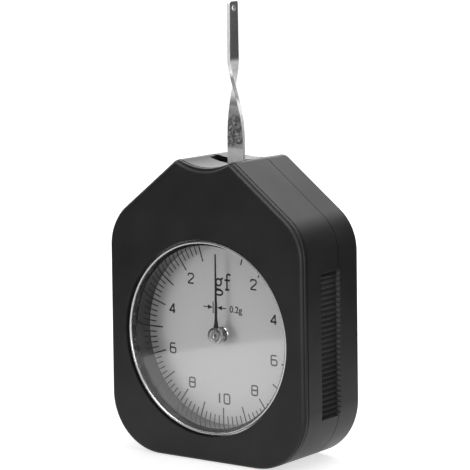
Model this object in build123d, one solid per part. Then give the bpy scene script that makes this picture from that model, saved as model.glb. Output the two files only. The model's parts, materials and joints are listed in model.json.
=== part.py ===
from build123d import *
from math import acos, asin, atan2, cos, degrees, pi, radians, sin, sqrt, tan
import os

# Dial tension gauge: a hand-held black case with a round window, a steel feeler
# lever that swings in a slot on top, and a sector and pinion that turn a
# centre-zero pointer ten times as far as the lever.
# Millimetres. +X right, +Y to the back, +Z up, origin under the middle of the case.

# ---- Case
case_width = 60.0            # across the flat sides at the shoulders, front edge
case_base_width = 60.6       # the same at the floor
pivot_headroom = 12.0        # lever's pivot to the two top corners
case_depth = 24.4            # front panel to back
shoulder_drop = 17.0         # top corners to where a flat side would meet its shoulder
top_width = 16.7             # between the two top corners
shoulder_radius = 12.5
bottom_radius = 15.0
top_corner_radius = 1.5
least_corner_radius = 0.3    # inside corners of the shells
scoop_depth = 2.0            # sag of the hollow between the top corners
wall = 2.6
front_wall = 2.5
back_wall = 2.0
back_edge_radius = 0.7
parting_depth = 15.5         # front panel to the joint between the two shells
parting_draft = 0.45         # how far the shells widen towards that joint
back_draft = 0.38            # what is left of it at the back
parting_bevel = 0.25         # bevel on the rear shell's edge

# ---- Raised front panel
panel_step = 0.55
panel_inset = 0.6
panel_scoop_inset = 0.4      # further inset under the hollow on top
panel_edge_radius = 0.25
ledge_edge_radius = 0.2

# ---- Grip pockets in the flat sides
grip_from_panel = 7.8        # front edge of the pocket, behind the panel
grip_bottom = 12.8
ridge_pitch = 1.33
ridge_count = 28
ridge_depth = 0.55
grip_recess = 0.15           # ridge crests below the flat side's front edge
grip_ramp = 1.7              # slope that ends the pocket, on the rear shell

# ---- Window, dial and pointer
dial_height = 31.8           # pointer axis above the floor
window_radius = 25.3
bezel_recess = 0.6           # bezel below the front panel
bezel_radius = 24.86
bezel_opening = 24.2
bezel_lip = 0.4
bezel_sleeve = 0.35          # wall beside the crystal
bezel_flange_reach = 1.0     # flange beyond the bezel's visible rim
bezel_flange = 0.8
crystal_thickness = 1.5
crystal_bevel = 0.2
well_radius = 23.5
well_tube_wall = 1.5
dial_thickness = 0.8
dial_foot_spread = 34.0
dial_foot_radius = 0.8
dial_bush_radius = 1.95
dial_bush_rise = 0.4         # bush in front of the dial
dial_bush_recess_radius = 1.25
dial_bush_recess = 0.25
pointer_length = 21.0        # axis to tip
pointer_thickness = 0.25
pointer_root_width = 1.76
pointer_neck_width = 0.66    # where the concave root ends
pointer_neck = 5.0
pointer_tip_width = 0.3
pointer_boss_radius = 1.9
pointer_gap = 2.6            # dial to the back of the pointer
hub_radius = 2.2
hub_disc = 0.7
hub_stem_radius = 1.1
hub_stem_drop = 0.9          # stem behind the pointer
hub_dimple = 0.35

# ---- Gears
module = 0.5
pinion_teeth = 12
wheel_teeth = 120            # of the full wheel that the sector is cut from
sector_teeth = 17
pressure_angle = 20.0
profile_shift = 0.3          # added to the pinion, taken from the wheel, in modules
addendum = 1.0
dedendum = 1.25
tooth_thinning = 0.05        # off each tooth's width, for backlash
pinion_face = 1.8
sector_thickness = 1.0
sector_rim = 4.5
sector_arm = 3.0
sector_hub_radius = 5.0
sector_corner = 1.0

# ---- Lever
swing = 18.0                 # degrees to each side
lever_thickness = 0.9
lever_width = 4.9
lever_tail = 4.6             # below its pivot
lever_flat = 4.2             # flat of the lower part, above the top corners
lever_twist = 20.0           # length of the twist
lever_twist_end = 1.2        # how fast it turns at the upper end, against its mean
lever_blade = 15.4           # from the twist to the tip
lever_neck_width = 3.9       # above the twist
lever_tip_width = 3.5
lever_tip_offset = 0.9       # upper part stands this much nearer the front
lever_tip_corner = 0.5
tip_hole_radius = 0.8
tip_hole_from_top = 1.7
lever_side_gap = 0.35        # each side in the slot at full swing
slot_front_gap = 1.6
slot_back_gap = 1.2

# ---- Movement
base_plate_thickness = 1.2
rear_plate_thickness = 1.0
plate_gap = 8.6
movement_lead = 0.125        # movement set this much nearer the crystal than the back
pillar_radius = 1.75
pillar_rivet_radius = 1.0    # riveted into the base plate
pillar_screw_radius = 0.7
upper_pillar_spread = 17.0
upper_pillar_rise = 1.7      # above the lever's pivot
lower_pillar_spread = 34.0
lower_pillar_drop = 4.8      # below the pointer axis
post_radius = 1.9
post_screw_radius = 0.8
upper_post_spread = 26.0
upper_post_drop = 4.8        # below the lever's pivot
lower_post_height = 14.4
plate_rim = 0.9              # plate around a pillar or post
plate_side_gap = 0.3         # base plate to the case's inner sides
sector_clearance = 1.1       # base plate to sector
arbor_radius = 1.0
arbor_pivot_radius = 0.6
arbor_end_shake = 0.1        # play along the axis at each end
lever_bush_radius = 1.8
bush_rise = 0.3              # bush beyond its plate's inner face
lever_hub_radius = 4.2
lever_hub_length = 2.4
lever_hub_spigot_radius = 1.6
rivet_radius = 0.6
rivet_head_radius = 0.95
rivet_head = 0.35
rivet_spread = 6.0
pointer_arbor_radius = 0.5
pinion_bush_radius = 1.4
stop_pin_radius = 0.75
stop_pin_distance = 22.0     # from the lever's pivot
stop_pin_gap = 0.1           # to the sector's edge at full swing
stop_pin_overrun = 0.6       # pin beyond the sector's face

# ---- Springs
collet_length = 1.6
spring_width = 1.0
spring_from_lever = 1.1
range_spring_strip = 0.3
range_spring_turns = 3.5
range_spring_inner = 2.3
range_spring_outer = 6.0
range_collet_radius = 2.0
hairspring_strip = 0.15
hairspring_turns = 4.0
hairspring_inner = 1.6
hairspring_outer = 5.5
hairspring_collet_radius = 1.35
stud_radius = 0.9
stud_overrun = 0.3           # stud beyond the spring's edge
stud_slot_gap = 0.12         # beside the spring's end

# ---- Screws
case_screw_radius = 1.25
case_screw_clear = 0.2
case_screw_grip = 5.0        # thread in the front shell
case_screw_head_radius = 2.1
case_screw_head = 1.6
case_screw_sink = 2.1        # head seat below the back
case_boss_radius = 3.2
upper_case_screw_spread = 43.0
upper_case_screw_drop = 9.3  # below the lever's pivot
lower_case_screw_spread = 41.0
lower_case_screw_height = 7.5
small_head_radius = 1.4
small_head = 0.8
small_screw_grip = 3.0
driver_slot_width = 0.45
driver_slot_depth = 0.4

# ---- Fits
seat_gap = 0.02              # between pieces that seat in one another
run_gap = 0.03               # between a shaft and its bush

# ---- Stations from front to back
panel_y = -case_depth / 2
ledge_y = panel_y + panel_step
parting_y = panel_y + parting_depth
back_y = case_depth / 2
front_inner_y = panel_y + front_wall
back_inner_y = back_y - back_wall
bezel_y = panel_y + bezel_recess
crystal_y = bezel_y + bezel_lip
crystal_back_y = crystal_y + crystal_thickness
pointer_rise = pointer_gap + pointer_thickness + hub_disc
movement_depth = dial_thickness + base_plate_thickness + plate_gap + rear_plate_thickness + small_head
spare_depth = back_inner_y - crystal_back_y - pointer_rise - movement_depth
dial_y = crystal_back_y + spare_depth / 2 - movement_lead + pointer_rise
dial_back_y = dial_y + dial_thickness
base_back_y = dial_back_y + base_plate_thickness
sector_y = base_back_y + sector_clearance
sector_back_y = sector_y + sector_thickness
lever_y = sector_back_y + lever_hub_length
lever_back_y = lever_y + lever_thickness
spring_y = lever_back_y + spring_from_lever
spring_back_y = spring_y + spring_width
rear_plate_y = base_back_y + plate_gap
rear_plate_back_y = rear_plate_y + rear_plate_thickness
pointer_back_y = dial_y - pointer_gap
pointer_y = pointer_back_y - pointer_thickness
hub_y = pointer_y - hub_disc

# ---- Radii and heights that follow
pivot_height = dial_height + module * (wheel_teeth + pinion_teeth) / 2
case_height = pivot_height + pivot_headroom
shoulder_height = case_height - shoulder_drop
lever_twist_from = case_height + lever_flat
lever_twist_to = lever_twist_from + lever_twist
lever_height = lever_twist_to + lever_blade
bezel_flange_radius = bezel_radius + bezel_flange_reach
tube_bore = bezel_flange_radius + seat_gap
tube_radius = tube_bore + well_tube_wall


def side_at(height):
    """Half the width of the case between its flat sides, at the front edge."""
    return (case_base_width + (case_width - case_base_width) * height / shoulder_height) / 2


lower_post_spread = 2 * (side_at(lower_post_height) - wall - plate_side_gap - plate_rim - post_radius)
pillar_places = [(side * upper_pillar_spread / 2, pivot_height + upper_pillar_rise) for side in (-1, 1)]
pillar_places += [(side * lower_pillar_spread / 2, dial_height - lower_pillar_drop) for side in (-1, 1)]
post_places = [(side * upper_post_spread / 2, pivot_height - upper_post_drop) for side in (-1, 1)]
post_places += [(side * lower_post_spread / 2, lower_post_height) for side in (-1, 1)]
case_places = [(side * upper_case_screw_spread / 2, pivot_height - upper_case_screw_drop) for side in (-1, 1)]
case_places += [(side * lower_case_screw_spread / 2, lower_case_screw_height) for side in (-1, 1)]
lever_middle_y = (lever_y + lever_back_y) / 2
tip_middle_y = lever_middle_y - lever_tip_offset
swing_slope = tan(radians(swing))
slot_half_width = ((case_height + parting_draft - pivot_height) * swing_slope
                   + lever_width / 2 / cos(radians(swing)) + lever_side_gap)
sector_half_angle = 180 * sector_teeth / wheel_teeth
pivot = (0, pivot_height)
dial_centre = (0, dial_height)


# ---- Building blocks

def depth_plane(depth):
    """A plane that faces forwards at a given depth, with x to the right and y up."""
    return Plane((0, depth, 0), x_dir=(1, 0, 0), z_dir=(0, -1, 0))


def slab(sketch, front, back):
    """A front-view sketch extruded from one depth to another."""
    return extrude(depth_plane(back) * sketch, back - front)


def disc(radius, place, front, back):
    return slab(Pos(*place) * Circle(radius), front, back)


def discs(radius, places, front, back):
    return Part() + [disc(radius, place, front, back) for place in places]


def ring(inner, outer, place, front, back):
    return slab(Pos(*place) * (Circle(outer) - Circle(inner)), front, back)


def turned(profile, place):
    """(radius, depth) points revolved about an axis that runs front to back through a place."""
    return Pos(place[0], 0, place[1]) * revolve(make_face(Polyline(*profile, close=True)), Axis.Y)


def hull_around(places, radii):
    """The plate outline that wraps a circle at every place."""
    circles = [Pos(*place) * Circle(radius) for place, radius in zip(places, radii)]
    return make_hull([circle.edge() for circle in circles])


def screw(place, tip, seat, shank_radius, head_radius, head_height):
    """A slotted cheese-head screw whose head sits on a depth and whose tip points forwards."""
    top = seat + head_height
    body = turned([(0, tip), (shank_radius, tip), (shank_radius, seat), (head_radius, seat),
                   (head_radius, top), (0, top)], place)
    driver_slot = slab(Pos(*place) * Rectangle(2 * head_radius, driver_slot_width), top - driver_slot_depth, top)
    return body - driver_slot


# ---- Case

def case_outline(grow, floor=0.0, scoop_drop=0.0):
    """Front view of the case with its sides and top moved outwards by grow."""
    slope = atan2(case_height - shoulder_height, (case_width - top_width) / 2)
    side = case_width / 2 + grow
    base_side = case_base_width / 2 + grow
    shoulder_z = shoulder_height + grow * tan(pi / 4 - slope / 2)
    corner_x = top_width / 2 + grow * tan(slope / 2)
    corner_z = case_height + grow
    sides = Polyline((corner_x, corner_z), (side, shoulder_z), (base_side, floor), (-base_side, floor),
                     (-side, shoulder_z), (-corner_x, corner_z))
    hollow = ThreePointArc((-corner_x, corner_z), (0, corner_z - scoop_depth - scoop_drop), (corner_x, corner_z))
    face = make_face([sides, hollow])
    near = least_corner_radius / 10
    for height, radius in ((floor, bottom_radius), (shoulder_z, shoulder_radius), (corner_z, top_corner_radius)):
        corners = face.vertices().filter_by_position(Axis.Y, height - near, height + near)
        face = fillet(corners, max(radius + grow, least_corner_radius))
    return face


def standing_flat(body):
    """The same solid with its floor as a true plane."""
    floor, *others = body.faces().sort_by(Axis.Z)
    return Solid(Shell([Face(floor.outer_wire()), *others]))


def case_cavity():
    return slab(case_outline(-wall, floor=wall), front_inner_y, back_inner_y)


def grip_pocket():
    """Cutter for the right side: ridges that run from front to back and climb out on a ramp."""
    beyond = max(case_width, case_base_width) / 2 + parting_draft + grip_ramp
    edge = []
    for step in range(2 * ridge_count + 1):
        height = grip_bottom + step * ridge_pitch / 2
        edge.append((side_at(height) - grip_recess - (step % 2) * ridge_depth, height))
    profile = make_face(Polyline((beyond, edge[0][1]), *edge, (beyond, edge[-1][1]), close=True))
    ramp = extrude(depth_plane(parting_y) * profile, grip_ramp * sqrt(2), dir=(1, 1, 0))
    return slab(profile, panel_y + grip_from_panel, parting_y) + ramp


def lever_slot():
    top = case_height + lever_width
    bottom = case_height - wall - 2 * scoop_depth
    opening = Pos(0, (top + bottom) / 2) * Rectangle(2 * slot_half_width, top - bottom)
    return slab(opening, lever_y - slot_front_gap, lever_back_y + slot_back_gap)


def outside_cuts():
    right = grip_pocket()
    return right + mirror(right, Plane.YZ) + lever_slot()


def front_housing():
    sections = [depth_plane(ledge_y) * case_outline(0), depth_plane(parting_y) * case_outline(parting_draft)]
    body = standing_flat(loft(sections, ruled=True))
    body = fillet(body.faces().sort_by(Axis.Y)[0].edges(), ledge_edge_radius)
    panel = slab(case_outline(-panel_inset, floor=panel_inset, scoop_drop=panel_scoop_inset),
                 panel_y, front_inner_y)
    panel = fillet(panel.faces().sort_by(Axis.Y)[0].edges(), panel_edge_radius)
    shell = body + panel - case_cavity()
    shell += disc(tube_radius, dial_centre, front_inner_y, dial_back_y)
    shell += discs(post_radius, post_places, front_inner_y, dial_back_y)
    shell += discs(case_boss_radius, case_places, front_inner_y, parting_y)
    shell -= disc(window_radius, dial_centre, panel_y, front_inner_y)
    shell -= disc(tube_bore, dial_centre, crystal_back_y - bezel_flange, dial_back_y)
    shell -= discs(post_screw_radius, post_places, dial_back_y - small_screw_grip, dial_back_y)
    shell -= discs(case_screw_radius, case_places, parting_y - case_screw_grip, parting_y)
    return shell - outside_cuts()


def rear_cover():
    sections = [depth_plane(parting_y) * case_outline(parting_draft), depth_plane(back_y) * case_outline(back_draft)]
    body = standing_flat(loft(sections, ruled=True))
    body = fillet(body.faces().sort_by(Axis.Y)[-1].edges(), back_edge_radius)
    body = chamfer(body.faces().sort_by(Axis.Y)[0].edges(), parting_bevel)
    shell = body - case_cavity()
    shell += discs(case_boss_radius, case_places, parting_y, back_inner_y)
    shell -= discs(case_screw_radius + case_screw_clear, case_places, parting_y, back_y)
    shell -= discs(case_screw_head_radius + case_screw_clear, case_places, back_y - case_screw_sink, back_y)
    return shell - outside_cuts()


def case_screws():
    seat = back_y - case_screw_sink
    tip = parting_y - case_screw_grip + seat_gap
    return [screw(place, tip, seat, case_screw_radius - seat_gap, case_screw_head_radius, case_screw_head)
            for place in case_places]


# ---- Window and dial

def bezel_ring():
    sleeve = bezel_radius - bezel_sleeve
    flange_y = crystal_back_y - bezel_flange
    return turned([(bezel_opening, bezel_y), (bezel_radius, bezel_y), (bezel_radius, flange_y),
                   (bezel_flange_radius, flange_y), (bezel_flange_radius, crystal_back_y),
                   (sleeve, crystal_back_y), (sleeve, crystal_y), (bezel_opening, crystal_y)], dial_centre)


def crystal():
    radius = bezel_radius - bezel_sleeve - seat_gap
    return turned([(0, crystal_y), (radius - crystal_bevel, crystal_y), (radius, crystal_y + crystal_bevel),
                   (radius, crystal_back_y), (0, crystal_back_y)], dial_centre)


def dial_plate():
    return ring(dial_bush_radius + seat_gap, tube_bore - seat_gap, dial_centre, dial_y, dial_back_y)


def dial_feet():
    places = [(side * dial_foot_spread / 2, dial_height) for side in (-1, 1)]
    return [disc(dial_foot_radius, place, dial_back_y, base_back_y + bush_rise) for place in places]


def dial_bush():
    front = dial_y - dial_bush_rise
    bore = pointer_arbor_radius + run_gap
    return turned([(bore, front + dial_bush_recess), (dial_bush_recess_radius, front + dial_bush_recess),
                   (dial_bush_recess_radius, front), (dial_bush_radius, front),
                   (dial_bush_radius, base_back_y + bush_rise), (bore, base_back_y + bush_rise)], dial_centre)


# ---- Pointer

def pointer():
    """Flat needle that widens in a hollow curve to the round boss on its hub."""
    root, neck, tip = pointer_root_width / 2, pointer_neck_width / 2, pointer_tip_width / 2
    waist = (root + 2 * neck) / 3
    middle = (pointer_boss_radius + pointer_neck) / 2
    right = ThreePointArc((root, pointer_boss_radius), (waist, middle), (neck, pointer_neck))
    left = ThreePointArc((-neck, pointer_neck), (-waist, middle), (-root, pointer_boss_radius))
    shaft = Polyline((neck, pointer_neck), (tip, pointer_length), (-tip, pointer_length), (-neck, pointer_neck))
    foot = Polyline((-root, pointer_boss_radius), (-root, 0), (root, 0), (root, pointer_boss_radius))
    outline = make_face([right, shaft, left, foot]) + Circle(pointer_boss_radius)
    outline -= Circle(hub_stem_radius + seat_gap)
    return slab(Pos(*dial_centre) * outline, pointer_y, pointer_back_y)


def pointer_hub():
    bore = pointer_arbor_radius + seat_gap
    stem_y = pointer_back_y + hub_stem_drop
    return turned([(bore, hub_y), (hub_radius, hub_y), (hub_radius, pointer_y), (hub_stem_radius, pointer_y),
                   (hub_stem_radius, stem_y), (bore, stem_y)], dial_centre)


def pointer_arbor():
    return disc(pointer_arbor_radius, dial_centre, hub_y + hub_dimple, rear_plate_back_y)


# ---- Gears

def involute(angle):
    return tan(angle) - angle


def tooth(teeth, shift):
    """One involute tooth that points along +X, from below its root circle to its tip."""
    pressure = radians(pressure_angle)
    pitch_radius = module * teeth / 2
    base_radius = pitch_radius * cos(pressure)
    tip_radius = pitch_radius + module * (addendum + shift)
    root_radius = pitch_radius - module * (dedendum - shift)
    half_angle = (pi / 2 + 2 * shift * tan(pressure)) / teeth - tooth_thinning / 2 / pitch_radius

    def flank(radius, side):
        spread = half_angle + involute(pressure) - involute(acos(min(base_radius / radius, 1)))
        return (radius * cos(spread), side * radius * sin(spread))

    start_radius = max(base_radius, root_radius)
    middle_radius = (start_radius + tip_radius) / 2
    lower, upper = [[flank(radius, side) for radius in (start_radius, middle_radius, tip_radius)] for side in (-1, 1)]
    foot_x = root_radius - module / 2
    foot = Polyline(upper[0], (foot_x, upper[0][1]), (foot_x, lower[0][1]), lower[0])
    return make_face([foot, ThreePointArc(*lower), Line(lower[-1], upper[-1]), ThreePointArc(*reversed(upper))])


def centre_pinion():
    """A tooth gap points straight up, where the sector's middle tooth lies."""
    pitch = 360 / pinion_teeth
    one = tooth(pinion_teeth, profile_shift)
    root_radius = module * (pinion_teeth / 2 - dedendum + profile_shift)
    outline = Circle(root_radius) + [Rot(Z=90 + pitch * (step + 0.5)) * one for step in range(pinion_teeth)]
    outline -= Circle(pointer_arbor_radius + seat_gap)
    front = (sector_y + sector_back_y - pinion_face) / 2
    return slab(Pos(*dial_centre) * outline, front, front + pinion_face)


def wedge(radius, half_angle):
    """A slice of a disc that points straight down."""
    turns = [radians(-90 + step * half_angle) for step in (-1, 0, 1)]
    rim = [(radius * cos(turn), radius * sin(turn)) for turn in turns]
    return make_face([Line((0, 0), rim[0]), ThreePointArc(*rim), Line(rim[-1], (0, 0))])


def sector_gear():
    pitch = 360 / wheel_teeth
    one = tooth(wheel_teeth, -profile_shift)
    root_radius = module * (wheel_teeth / 2 - dedendum - profile_shift)
    window_radius_out = root_radius - sector_rim
    window_half_angle = sector_half_angle - degrees(asin(sector_arm / window_radius_out))
    window = wedge(window_radius_out, window_half_angle) - Circle(sector_hub_radius + sector_arm)
    window = fillet(window.vertices(), sector_corner)
    outline = wedge(root_radius, sector_half_angle) + Circle(sector_hub_radius)
    first = -90 - pitch * (sector_teeth - 1) / 2
    outline += [Rot(Z=first + pitch * step) * one for step in range(sector_teeth)]
    outline -= window
    outline -= Circle(lever_hub_spigot_radius + seat_gap)
    outline -= rivet_holes()
    return slab(Pos(*pivot) * outline, sector_y, sector_back_y)


# ---- Lever and what it turns on

def rivet_holes():
    return Sketch() + [Pos(0, side * rivet_spread / 2) * Circle(rivet_radius + seat_gap) for side in (-1, 1)]


def lever():
    """Flat strip that swings in the slot, then turns a quarter to the right and tapers to its eye."""
    tail_z = pivot_height - lever_tail
    strip = Pos(0, (tail_z + lever_twist_from) / 2) * Rectangle(lever_width, lever_twist_from - tail_z)
    strip = fillet(strip.vertices().group_by(Axis.Y)[0], lever_width / 2 - least_corner_radius)
    strip -= Pos(*pivot) * (Circle(lever_hub_spigot_radius + seat_gap) + rivet_holes())
    lower = slab(strip, lever_y, lever_back_y)

    sections = []
    steps = 8
    for step in range(steps + 1):
        share = step / steps
        eased = share * share * (3 - lever_twist_end - (2 - lever_twist_end) * share)
        height = lever_twist_from + share * (lever_twist_to - lever_twist_from)
        width = lever_width + eased * (lever_neck_width - lever_width)
        turn = radians(-90 * eased)
        plane = Plane((0, lever_middle_y - eased * lever_tip_offset, height), x_dir=(cos(turn), sin(turn), 0))
        sections.append(plane * Rectangle(width, lever_thickness))
    twist = loft(sections)

    neck, tip = lever_neck_width / 2, lever_tip_width / 2
    blade = make_face(Polyline((-neck, lever_twist_to), (neck, lever_twist_to), (tip, lever_height),
                               (-tip, lever_height), close=True))
    blade = fillet(blade.vertices().group_by(Axis.Y)[-1], lever_tip_corner)
    blade -= Pos(0, lever_height - tip_hole_from_top) * Circle(tip_hole_radius)
    blade_plane = Plane((-lever_thickness / 2, tip_middle_y, 0), x_dir=(0, 1, 0), z_dir=(1, 0, 0))
    upper = extrude(blade_plane * blade, lever_thickness)
    return lower + twist + upper


def lever_hub():
    bore, spigot = arbor_radius + seat_gap, lever_hub_spigot_radius
    body = turned([(bore, sector_y), (spigot, sector_y), (spigot, sector_back_y), (lever_hub_radius, sector_back_y),
                   (lever_hub_radius, lever_y), (spigot, lever_y), (spigot, lever_back_y), (bore, lever_back_y)],
                  pivot)
    return body - slab(Pos(*pivot) * rivet_holes(), sector_back_y, lever_y)


def lever_rivets():
    rivets = []
    for side in (-1, 1):
        front, back = sector_y - rivet_head, lever_back_y + rivet_head
        profile = [(0, front), (rivet_head_radius, front), (rivet_head_radius, sector_y), (rivet_radius, sector_y),
                   (rivet_radius, lever_back_y), (rivet_head_radius, lever_back_y), (rivet_head_radius, back),
                   (0, back)]
        rivets.append(turned(profile, (0, pivot_height + side * rivet_spread / 2)))
    return rivets


def lever_arbor():
    front_shoulder = base_back_y + bush_rise + arbor_end_shake
    back_shoulder = rear_plate_y - bush_rise - arbor_end_shake
    return turned([(0, dial_back_y), (arbor_pivot_radius, dial_back_y), (arbor_pivot_radius, front_shoulder),
                   (arbor_radius, front_shoulder), (arbor_radius, back_shoulder),
                   (arbor_pivot_radius, back_shoulder), (arbor_pivot_radius, rear_plate_back_y),
                   (0, rear_plate_back_y)], pivot)


# ---- Movement plates

def stop_pin_places():
    half_turn = radians(swing + sector_half_angle) + asin((stop_pin_radius + stop_pin_gap) / stop_pin_distance)
    return [(side * stop_pin_distance * sin(half_turn), pivot_height - stop_pin_distance * cos(half_turn))
            for side in (-1, 1)]


def movement_base_plate():
    radii = [pillar_radius + plate_rim] * 2 + [post_radius + plate_rim] * len(post_places)
    outline = hull_around(pillar_places[:2] + post_places, radii)
    plate = slab(outline, dial_back_y, base_back_y)
    plate -= discs(pillar_rivet_radius + seat_gap, pillar_places, dial_back_y, base_back_y)
    plate -= discs(post_screw_radius + seat_gap, post_places, dial_back_y, base_back_y)
    plate -= discs(stop_pin_radius + seat_gap, stop_pin_places(), dial_back_y, base_back_y)
    feet = [(side * dial_foot_spread / 2, dial_height) for side in (-1, 1)]
    plate -= discs(dial_foot_radius + seat_gap, feet, dial_back_y, base_back_y)
    plate -= disc(dial_bush_radius + seat_gap, dial_centre, dial_back_y, base_back_y)
    return plate - disc(lever_bush_radius + seat_gap, pivot, dial_back_y, base_back_y)


def movement_rear_plate():
    outline = hull_around(pillar_places, [pillar_radius + plate_rim] * len(pillar_places))
    plate = slab(outline, rear_plate_y, rear_plate_back_y)
    plate -= discs(pillar_screw_radius + seat_gap, pillar_places, rear_plate_y, rear_plate_back_y)
    plate -= discs(stud_radius + seat_gap, [range_stud_place, hair_stud_place], rear_plate_y, rear_plate_back_y)
    plate -= disc(lever_bush_radius + seat_gap, pivot, rear_plate_y, rear_plate_back_y)
    return plate - disc(pinion_bush_radius + seat_gap, dial_centre, rear_plate_y, rear_plate_back_y)


def frame_pillars():
    rivet, screw_hole = pillar_rivet_radius, pillar_screw_radius
    hole_y = rear_plate_y - small_screw_grip
    profile = [(0, dial_back_y), (rivet, dial_back_y), (rivet, base_back_y), (pillar_radius, base_back_y),
               (pillar_radius, rear_plate_y), (screw_hole, rear_plate_y), (screw_hole, hole_y), (0, hole_y)]
    return [turned(profile, place) for place in pillar_places]


def pillar_screws():
    tip = rear_plate_y - small_screw_grip + seat_gap
    return [screw(place, tip, rear_plate_back_y, pillar_screw_radius - seat_gap, small_head_radius, small_head)
            for place in pillar_places]


def movement_screws():
    tip = dial_back_y - small_screw_grip + seat_gap
    return [screw(place, tip, base_back_y, post_screw_radius - seat_gap, small_head_radius, small_head)
            for place in post_places]


def stop_pins():
    return [disc(stop_pin_radius, place, dial_back_y, sector_back_y + stop_pin_overrun)
            for place in stop_pin_places()]


def plain_bush(bore, radius, place, front, back):
    return ring(bore + run_gap, radius, place, front, back)


# ---- Springs, each wound from near its collet out to a stud straight below

def spiral(inner, outer, turns, strip):
    """Edge-on view of a flat strip wound in half turns, each a little smaller than the last.

    It ends straight below its middle, where it arrives from the left.
    """
    half_turns = round(2 * turns)
    reach = [outer - (outer - inner) * step / half_turns for step in range(half_turns + 1)]

    def edge(offset):
        arcs = []
        for step in range(half_turns):
            side = -1 if step % 2 == 0 else 1
            start = side * (reach[step] + offset)
            end = -side * (reach[step + 1] + offset)
            bulge = side * ((reach[step] + reach[step + 1]) / 2 + offset)
            arcs.append(ThreePointArc((0, start), (bulge, (start + end) / 2), (0, end)))
        return arcs

    near, far = edge(-strip / 2), edge(strip / 2)
    return make_face(near + far + [Line(near[0] @ 0, far[0] @ 0), Line(near[-1] @ 1, far[-1] @ 1)])


def spring(place, inner, outer, turns, strip):
    return slab(Pos(*place) * spiral(inner, outer, turns, strip), spring_y, spring_back_y)


def spring_stud(place, strip):
    """Post on the rear plate, slotted from the left for the end of a spring."""
    front = spring_y - stud_overrun
    post = disc(stud_radius, place, front, rear_plate_back_y)
    slot = Pos(place[0] - stud_radius / 2, place[1]) * Rectangle(stud_radius, strip + 2 * stud_slot_gap)
    return post - slab(slot, front, spring_back_y + seat_gap)


def spring_collet(shaft_radius, radius, place):
    front = (spring_y + spring_back_y - collet_length) / 2
    return ring(shaft_radius + seat_gap, radius, place, front, front + collet_length)


range_stud_place = (0, pivot_height - range_spring_outer)
hair_stud_place = (0, dial_height - hairspring_outer)

nodes = {
    "front_housing": front_housing(),
    "rear_cover": rear_cover(),
    "case_screws": case_screws(),
    "bezel_ring": bezel_ring(),
    "crystal": crystal(),
    "dial_well": ring(well_radius, tube_bore - seat_gap, dial_centre, crystal_back_y, dial_y),
    "dial_plate": dial_plate(),
    "dial_feet": dial_feet(),
    "dial_bush": dial_bush(),
    "pointer": pointer(),
    "pointer_hub": pointer_hub(),
    "pointer_arbor": pointer_arbor(),
    "centre_pinion": centre_pinion(),
    "sector_gear": sector_gear(),
    "lever": lever(),
    "lever_hub": lever_hub(),
    "lever_rivets": lever_rivets(),
    "lever_arbor": lever_arbor(),
    "movement_base_plate": movement_base_plate(),
    "movement_rear_plate": movement_rear_plate(),
    "frame_pillars": frame_pillars(),
    "pillar_screws": pillar_screws(),
    "movement_screws": movement_screws(),
    "stop_pins": stop_pins(),
    "lever_front_bush": plain_bush(arbor_pivot_radius, lever_bush_radius, pivot, dial_back_y,
                                   base_back_y + bush_rise),
    "lever_rear_bush": plain_bush(arbor_pivot_radius, lever_bush_radius, pivot, rear_plate_y - bush_rise,
                                  rear_plate_back_y),
    "pinion_rear_bush": plain_bush(pointer_arbor_radius, pinion_bush_radius, dial_centre,
                                   rear_plate_y - bush_rise, rear_plate_back_y),
    "range_spring": spring(pivot, range_spring_inner, range_spring_outer, range_spring_turns,
                           range_spring_strip),
    "range_spring_stud": spring_stud(range_stud_place, range_spring_strip),
    "range_spring_collet": spring_collet(arbor_radius, range_collet_radius, pivot),
    "hairspring": spring(dial_centre, hairspring_inner, hairspring_outer, hairspring_turns, hairspring_strip),
    "hairspring_stud": spring_stud(hair_stud_place, hairspring_strip),
    "hairspring_collet": spring_collet(pointer_arbor_radius, hairspring_collet_radius, dial_centre),
}

os.makedirs("parts", exist_ok=True)
for name, shape in nodes.items():
    group = shape if isinstance(shape, list) else [shape]
    solids = [solid for piece in group for solid in piece.solids()]
    export_step(Compound(solids) if len(solids) > 1 else solids[0], f"parts/{name}.step")
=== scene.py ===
import json
from math import acos, atan2, cos, degrees, pi, radians, sin, sqrt, tan

import bmesh
import bpy
from mathutils import Matrix, Vector

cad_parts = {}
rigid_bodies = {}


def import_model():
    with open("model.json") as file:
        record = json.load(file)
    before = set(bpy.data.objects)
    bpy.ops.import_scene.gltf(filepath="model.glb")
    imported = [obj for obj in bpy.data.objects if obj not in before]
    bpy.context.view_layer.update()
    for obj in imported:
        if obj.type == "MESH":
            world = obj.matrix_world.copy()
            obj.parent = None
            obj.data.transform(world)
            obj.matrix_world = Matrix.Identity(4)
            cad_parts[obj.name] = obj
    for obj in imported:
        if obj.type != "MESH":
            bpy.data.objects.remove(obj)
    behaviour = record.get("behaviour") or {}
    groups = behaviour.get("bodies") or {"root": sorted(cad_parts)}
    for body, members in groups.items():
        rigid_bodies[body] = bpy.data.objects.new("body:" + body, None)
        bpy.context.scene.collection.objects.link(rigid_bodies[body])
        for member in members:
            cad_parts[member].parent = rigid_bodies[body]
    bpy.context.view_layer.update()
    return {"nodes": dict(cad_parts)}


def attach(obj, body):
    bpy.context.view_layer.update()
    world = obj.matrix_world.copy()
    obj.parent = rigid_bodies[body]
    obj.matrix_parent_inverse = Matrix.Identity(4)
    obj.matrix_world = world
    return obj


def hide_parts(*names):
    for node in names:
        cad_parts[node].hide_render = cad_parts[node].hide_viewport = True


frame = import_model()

# ---- Front shell
# Moulded in black ABS, satin with a fine spark-eroded grain: a raised front panel with a
# round window, ribbed grips in the sides and a slot in the top for the lever. It is drawn
# as outlines from front to back that are bridged into one wall.
MM = 0.001
weld = 0.002 * MM    # points nearer than this become one
past = 1.0           # how far a cutter reaches past the face that it opens
root = 0.5           # how deep a post stands in the wall that it grows from
panel_y, ledge_y, groove_y, parting_y = -12.2, -11.3, -10.15, 3.3
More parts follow.
